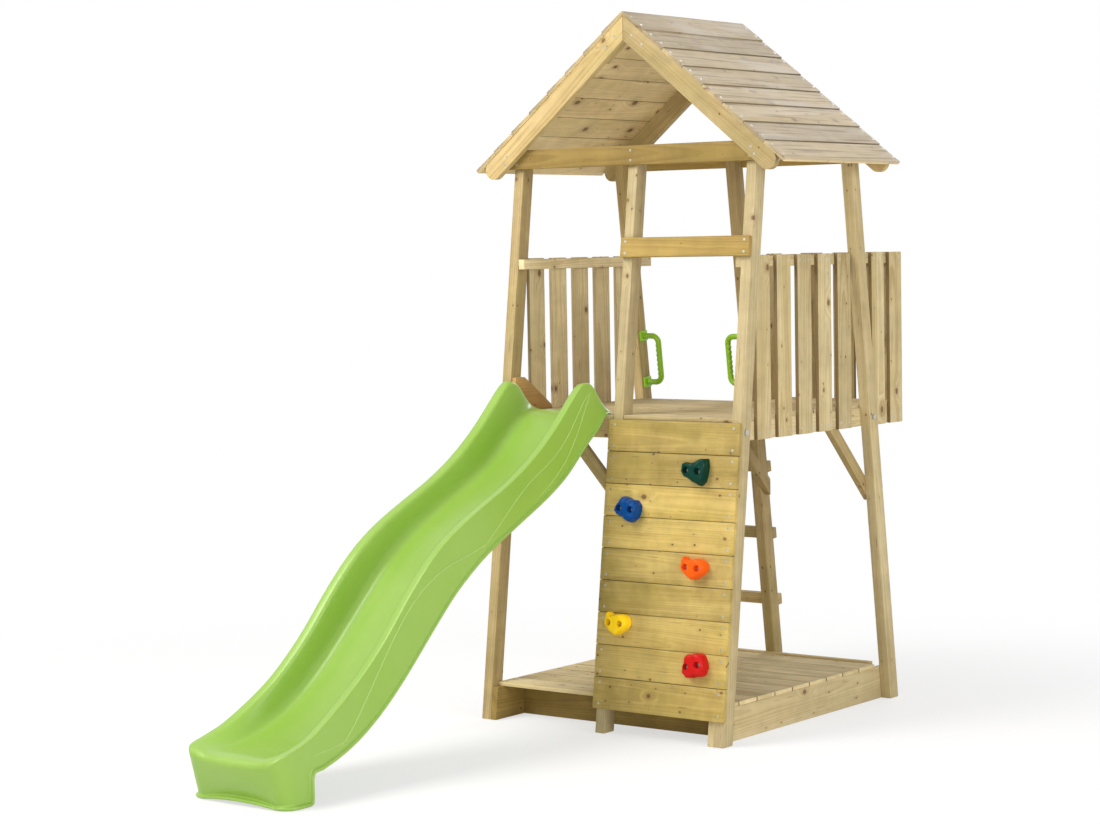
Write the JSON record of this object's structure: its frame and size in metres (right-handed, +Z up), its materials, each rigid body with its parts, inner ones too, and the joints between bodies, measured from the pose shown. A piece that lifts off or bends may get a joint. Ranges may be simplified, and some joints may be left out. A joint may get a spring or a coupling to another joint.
{
  "type": "wooden climbing frame",
  "caption": "Play tower with leaning posts, gable roof, railed platform and rear balcony, wavy slide, climbing wall with moulded holds, and a ladder with grab handles.",
  "frame": {"origin": "on the ground under the centre of the whole object's box", "axes": "+Z up; -Y is the front, towards which the slide runs; +X is right when looking at the front, the side with the climbing wall"},
  "size_m": [1.45, 3.069, 2.7331],
  "materials": {
    "treated_pine": "sawn and planed, pressure treated",
    "roof_wood": "sawn, pressure treated",
    "deck_wood": "planed, pressure treated",
    "stained_wood": "stained",
    "lime_plastic": "moulded, glossy",
    "hold_green": "moulded, fine grain",
    "hold_blue": "moulded, fine grain",
    "hold_orange": "moulded, fine grain",
    "hold_yellow": "moulded, fine grain",
    "hold_red": "moulded, fine grain",
    "zinc": "zinc plated"
  },
  "bodies": {
    "root": {"post_front_left": "treated_pine", "post_front_middle": "treated_pine", "post_front_right": "treated_pine", "post_back_left": "treated_pine", "post_back_middle": "treated_pine", "post_back_right": "treated_pine", "base_board_left": "treated_pine", "base_board_right": "treated_pine", "base_board_back": "treated_pine", "base_joist_front": "treated_pine", "base_joist_middle": "treated_pine", "lower_deck_boards": "deck_wood", "platform_beam_left": "treated_pine", "platform_beam_middle": "treated_pine", "platform_beam_right": "treated_pine", "platform_beam_front": "treated_pine", "platform_beam_back": "treated_pine", "balcony_beam": "treated_pine", "platform_deck_boards": "deck_wood", "balcony_deck_boards": "deck_wood", "brace_front_middle": "treated_pine", "brace_back_left": "treated_pine", "brace_back_middle": "treated_pine", "brace_back_right": "treated_pine", "railing_left_rail": "treated_pine", "railing_left_slats": "treated_pine", "railing_right_rail": "treated_pine", "railing_right_slats": "treated_pine", "balcony_back_rail": "treated_pine", "balcony_back_slats": "treated_pine", "balcony_side_rail": "treated_pine", "balcony_side_slat": "treated_pine", "cross_rail": "treated_pine", "climbing_wall_boards": "treated_pine", "hold_green": "hold_green", "hold_blue": "hold_blue", "hold_orange": "hold_orange", "hold_yellow": "hold_yellow", "hold_red": "hold_red", "hold_bolts": "zinc", "tie_beam_front": "treated_pine", "tie_beam_back": "treated_pine", "rafter_front_left": "treated_pine", "rafter_front_right": "treated_pine", "rafter_back_left": "treated_pine", "rafter_back_right": "treated_pine", "apex_plates": "treated_pine", "roof_boards_left": "roof_wood", "roof_boards_right": "roof_wood", "ladder_rungs": "treated_pine", "grab_handle_left": "lime_plastic", "grab_handle_right": "lime_plastic", "slide": "lime_plastic", "slide_cheek_board": "stained_wood", "wall_screws": "zinc", "slat_screws": "zinc", "roof_screws": "zinc", "frame_screws": "zinc", "frame_bolts": "zinc"}
  },
  "joints": []
}
